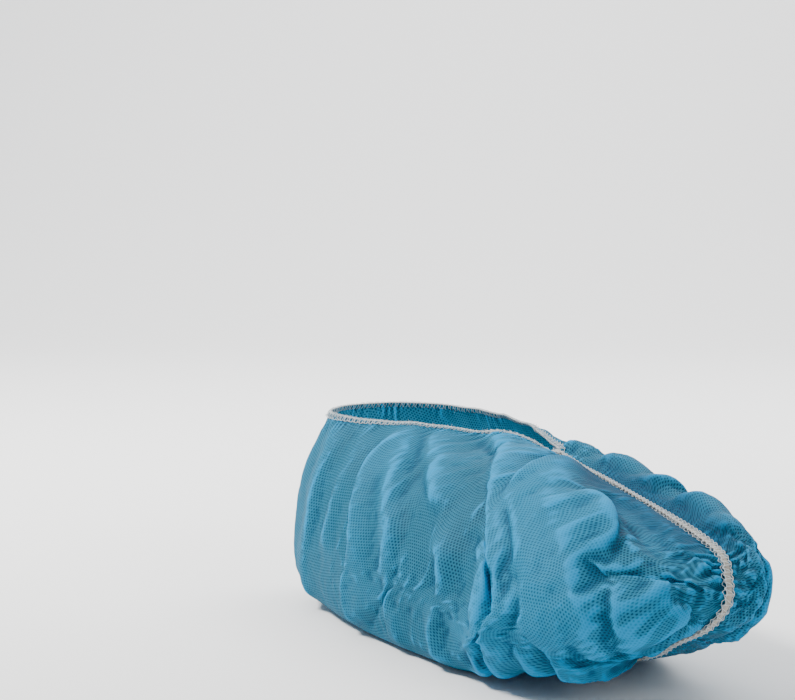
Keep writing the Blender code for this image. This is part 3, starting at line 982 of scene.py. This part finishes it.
def evenly(line, out, aside, step):
    # the line and two directions from it, read at even steps and squared to the line
    walk = walkOf(line)
    places = np.linspace(0, walk[-1], max(8, int(walk[-1] / step)) + 1)
    aside = readCurve(np.broadcast_to(aside, line.shape), walk, places)
    out = readCurve(out, walk, places)
    line = readCurve(line, walk, places)
    heading = headingOf(line)
    out = out - heading * (out * heading).sum(axis=1, keepdims=True)
    out /= np.linalg.norm(out, axis=1, keepdims=True)
    turned = np.cross(heading, out)
    facing = np.sign((turned * aside).sum(axis=1, keepdims=True))
    aside = turned * np.where(facing == 0, 1, facing)
    return {"line": line, "out": out, "aside": aside, "walk": places}


def sweep(line, out, aside, outline):
    # a closed outline, as pairs of lengths along out and aside, swept along a line
    rings = line[:, None] + out[:, None] * outline[..., :1] + aside[:, None] * outline[..., 1:]
    count, sides = rings.shape[:2]
    at = np.arange(count * sides).reshape(count, sides)
    after = np.roll(at, -1, 1)
    faces = np.stack((at[:-1], after[:-1], after[1:], at[1:]), axis=2).reshape(-1, 4)
    middle = [count * sides, count * sides + 1]
    caps = [(middle[0], at[0, (k + 1) % sides], at[0, k]) for k in range(sides)]
    caps += [(middle[1], at[-1, k], at[-1, (k + 1) % sides]) for k in range(sides)]
    points = np.concatenate((rings.reshape(-1, 3), rings[:1].mean(axis=1), rings[-1:].mean(axis=1)))
    return points, faces.tolist() + caps


def strand(line, thickness, sides=5):
    # a round thread along a line, whose own frame turns as little as it can
    heading = headingOf(line)
    out = np.empty_like(line)
    out[0] = np.cross(heading[0], (0.3, 0.5, 0.8))
    out[0] /= np.linalg.norm(out[0])
    for k in range(1, len(line)):
        out[k] = out[k - 1] - heading[k] * np.dot(out[k - 1], heading[k])
        out[k] /= np.linalg.norm(out[k])
    angle = np.arange(sides) * 2 * math.pi / sides
    outline = np.stack((np.cos(angle), np.sin(angle)), axis=1) * thickness / 2
    return sweep(line, out, np.cross(heading, out), outline[None].repeat(len(line), axis=0))


def joinBodies(name, bodies, material):
    points, faces, start = [], [], 0
    for body, corners in bodies:
        points.append(body)
        faces += [[corner + start for corner in face] for face in corners]
        start += len(body)
    return newMesh(name, np.concatenate(points), faces, material)


overlock = {
    "step": 0.00028,
    "period": 0.0034,
    "thread": 0.00029,
    "fuzz": 0.00009,
    "fuzzLong": (0.0007, 0.0018),
    "hemCore": 0.0006,
    "hemWide": 0.0032,
    "hemThick": 0.0015,
    "hemDrop": 0.0011,
    "hemCoreDrop": 0.0002,
    "hemChain": (0.0010, 0.0005),
    "hemFuzz": (0.003, 220),
    "seamCore": 0.0010,
    "seamWide": (0.0016, 0.0042),
    "seamThick": 0.0016,
    "seamStand": (0.0007, 0.0013),
    "chainSwing": 0.0004,
    "seamFrom": 0.86,
    "seamFuzz": (0.001, 160),
    "heelWide": 0.0058,
    "heelThick": 0.0016,
    "heelStand": 0.0006,
    "heelLowest": 0.0003,
    "looseAway": 0.0007,
    "looseSwing": 0.0006,
    "wander": 0.00022,
    "seed": 7,
}


def lineBeside(track, aside, out):
    return track["line"] + track["aside"] * aside[:, None] + track["out"] * out[:, None]


def windRound(track, wide, thick, drop, phases, rng):
    # threads that wind round the edge, by turns to either hand, and waver from stitch to stitch
    place = track["walk"] / overlock["period"]
    stitches = np.arange(int(place[-1]) + 2)
    lines = []
    for k, phase in enumerate(phases):
        angle = (-1) ** k * (2 * math.pi * place + phase)
        waver = np.interp(place, stitches, rng.normal(0, overlock["wander"], len(stitches)))
        spread = np.interp(place, stitches, rng.uniform(0.85, 1.15, len(stitches)))
        aside = drop + wide / 2 * np.cos(angle) * spread + waver
        lines.append(lineBeside(track, aside, thick / 2 * np.sin(angle) + 0.5 * waver))
    return lines


def straightThread(track, drop, out, swing, phase):
    angle = 2 * math.pi * track["walk"] / overlock["period"] + phase
    return lineBeside(track, drop + 0.6 * swing * np.sin(angle), out + swing * np.cos(angle))


def fuzzOn(track, drop, count, rng):
    # short loose ends of fibre that stand off the stitches
    bodies = []
    for place in rng.integers(4, len(track["line"]) - 4, count):
        start = track["line"][place] + track["aside"][place] * rng.uniform(0, drop)
        way = rng.normal(0, 1, 3) + track["out"][place] * 1.2
        bend = rng.normal(0, 1, 3)
        t = np.linspace(0, 1, 6)[:, None]
        length = rng.uniform(*overlock["fuzzLong"])
        curl = 0.5 * t * t * bend / np.linalg.norm(bend)
        line = start + length * (t * way / np.linalg.norm(way) + curl)
        line[:, 2] = np.maximum(line[:, 2], 0.0002)
        bodies.append(strand(line, overlock["fuzz"], 4))
    return bodies


def makeHem(points, normals, threadMaterial):
    rng = np.random.default_rng(overlock["seed"])
    ring, inner = (
        np.concatenate((rightNumbers[: front + 1, place], leftNumbers[front - 1 :: -1, place]))
        for place in (-1, -4)
    )
    track = evenly(points[ring], normals[ring], points[inner] - points[ring], overlock["step"])
    wide, thick, drop = overlock["hemWide"], overlock["hemThick"], overlock["hemDrop"]
    core = track["line"] + track["aside"] * overlock["hemCoreDrop"]
    bodies = [strand(core[::3], overlock["hemCore"], 8)]
    lines = windRound(track, wide, thick, drop, (0.0, 1.3, 3.3), rng)
    lines.append(straightThread(track, drop + wide / 2, *overlock["hemChain"], 2.0))
    bodies += [strand(line, overlock["thread"]) for line in lines]
    bodies += fuzzOn(track, *overlock["hemFuzz"], rng)
    return joinBodies("hemStitches", bodies, threadMaterial)


def makeSeam(points, normals, threadMaterial, elasticMaterial):
    rng = np.random.default_rng(overlock["seed"] + 1)
    first = int(np.argmax(rows > overlock["seamFrom"]))
    numbers = seamLine(rightNumbers, front)[first:]
    track = evenly(points[numbers], normals[numbers], rightward, overlock["step"])
    along = track["walk"] / track["walk"][-1]
    toe = smooth(along, 0.0, 0.12) * (1 - smooth(along, 0.42, 0.66))
    low, high = overlock["seamStand"]
    track["line"] = track["line"] + track["out"] * (low + (high - low) * toe)[:, None]
    narrow, broad = overlock["seamWide"]
    wide = narrow + (broad - narrow) * toe
    thick = overlock["seamThick"]
    angle = np.arange(10) * 2 * math.pi / 10
    oval = np.stack((np.cos(angle) * 0.45, np.sin(angle) * 0.5), axis=1)
    core = np.stack((np.full_like(wide, overlock["seamCore"]), wide * 0.66), axis=1)
    outline = oval[None] * core[:, None]
    bodies = [sweep(track["line"], track["out"], track["aside"], outline)]
    lines = windRound(track, wide, thick, 0.0, (0.0, 1.1), rng)
    for side in (-0.40, 0.42):
        lines.append(straightThread(track, side * wide, thick * 0.40, overlock["chainSwing"], side * 9))
    bodies += [strand(line, overlock["thread"]) for line in lines]
    # a looser looped thread lies on the cloth beside the rope
    beside = wide / 2 + overlock["looseAway"] * (1 - 0.6 * toe)
    swing = overlock["looseSwing"]
    angle = 2 * math.pi * track["walk"] / (1.15 * overlock["period"])
    aside = beside + swing * np.cos(angle) + 0.3 * swing * np.cos(2.3 * angle + 1)
    out = 0.0003 + 0.25 * swing * (1 + np.sin(angle)) - overlock["seamStand"][0]
    bodies.append(strand(lineBeside(track, aside, out), 0.8 * overlock["thread"]))
    bodies += fuzzOn(track, *overlock["seamFuzz"], rng)
    piece = joinBodies("seamStitches", bodies, threadMaterial)
    piece.data.materials.append(elasticMaterial)
    finishes = np.zeros(len(piece.data.polygons), np.int32)
    finishes[: len(bodies[0][1])] = 1
    piece.data.polygons.foreach_set("material_index", finishes)
    return piece


tape = {
    "wide": 0.0052,
    "thick": 0.0008,
    "ribs": 5,
    "ribRise": 0.00011,
    "endStation": 0.84,
    "tail": 0.022,
    "tailStand": 0.0035,
    "tailAside": 0.006,
    "stand": 0.0006,
    "step": 0.0008,
    "wave": (0.04, 0.0011),
    "lowest": 0.0007,
    "fray": 0.00022,
    "frayLong": (0.003, 0.008),
    "frayAcross": 0.0021,
    "frays": 46,
    "stitchedStation": 0.17,
}


def makeTape(points, normals, material):
    last = int(np.argmax(rows > tape["endStation"]))
    sole, heel = rightNumbers[last::-1, 0], rightNumbers[0, 1:]
    climb = walkOf(points[rightNumbers[0]])[1:]
    numbers = np.concatenate((sole, heel[: int(np.argmax(climb > tape["tail"]))]))
    track = evenly(points[numbers], normals[numbers], rightward, tape["step"])
    # the tail past the cloth's edge hangs a little loose and curls sideways
    loose = smooth(track["walk"], track["walk"][-1] - tape["tail"], track["walk"][-1])[:, None]
    track["line"] = track["line"] + track["out"] * (tape["stand"] + tape["tailStand"] * loose**2)
    track["line"] += track["aside"] * tape["tailAside"] * loose**2
    sides = tape["ribs"] * 4
    y = np.linspace(-0.5, 0.5, sides + 1)
    rise = tape["thick"] / 2 + tape["ribRise"] * np.cos(2 * math.pi * y * tape["ribs"])
    upper, lower = (np.stack((face, y * tape["wide"]), axis=1) for face in (rise, -rise))
    profile = np.concatenate((upper, lower[::-1]))
    height, length = tape["wave"]
    wide = (1 - 0.25 * loose[:, 0]) * (1 + height * np.sin(track["walk"] / length))
    outline = profile[None] * np.stack((np.ones_like(wide), wide), axis=1)[:, None]
    track["line"][:, 2] = np.maximum(track["line"][:, 2], tape["lowest"])
    bodies = [sweep(track["line"], track["out"], track["aside"], outline)]
    rng = np.random.default_rng(3)
    tip, out, aside = track["line"][-1], track["out"][-1], track["aside"][-1]
    ahead = track["line"][-1] - track["line"][-3]
    ahead /= np.linalg.norm(ahead)
    for _ in range(tape["frays"]):
        t = np.linspace(0, 1, 8)[:, None]
        across = aside * rng.uniform(-tape["frayAcross"], tape["frayAcross"])
        start = tip + across + out * rng.uniform(-0.0003, 0.0003) - ahead * 0.001
        way = ahead + aside * rng.normal(0, 0.35) + out * rng.normal(0.1, 0.25)
        curl = aside * rng.normal(0, 0.5) + out * rng.normal(0, 0.4)
        line = start + rng.uniform(*tape["frayLong"]) * (t * way + t**2 * curl)
        bodies.append(strand(line, tape["fray"], 4))
    return joinBodies("tapeAndTail", bodies, material)


def makeHeelStitches(points, normals, material):
    rng = np.random.default_rng(overlock["seed"] + 2)
    last = int(np.argmax(rows > tape["stitchedStation"]))
    numbers = np.concatenate((rightNumbers[last::-1, 0], rightNumbers[0, 1:5]))
    line = points[numbers] + normals[numbers] * overlock["heelStand"]
    track = evenly(line, normals[numbers], rightward, overlock["step"])
    lines = windRound(track, overlock["heelWide"], overlock["heelThick"], 0.0, (0.0, 1.2, 3.2), rng)
    for line in lines:
        line[:, 2] = np.maximum(line[:, 2], overlock["heelLowest"])
    return joinBodies("heelStitches", [strand(line, overlock["thread"]) for line in lines], material)


nonwoven = makeNonwoven()
thread = makeThread("whiteThread", "white", "shade")
elastic = makeThread("ribbedElastic", "elastic", "elasticShade")
sheet = makeCloth(nonwoven)
print("cloth made")
welded = newMesh("edges", sheetPoints, quads)
edgeNormals = readVectors(welded.data, "normal")
bpy.data.objects.remove(welded)
hem = makeHem(sheetPoints, edgeNormals, thread)
seam = makeSeam(sheetPoints, edgeNormals, thread, elastic)
tapePiece = makeTape(sheetPoints, edgeNormals, elastic)
heelStitches = makeHeelStitches(sheetPoints, edgeNormals, thread)
print("hem, seam and tape made")

for piece, slotName, node in (
    (sheet, "nonwoven_cloth", "cloth_cover"),
    (hem, "hem_thread", "hem_elastic"),
    (seam, "seam_thread", "toe_seam"),
    (tapePiece, "elastic_tape", "sole_tape"),
    (heelStitches, "seam_thread", None),
):
    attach(piece, "root")
    if node:
        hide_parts(node)
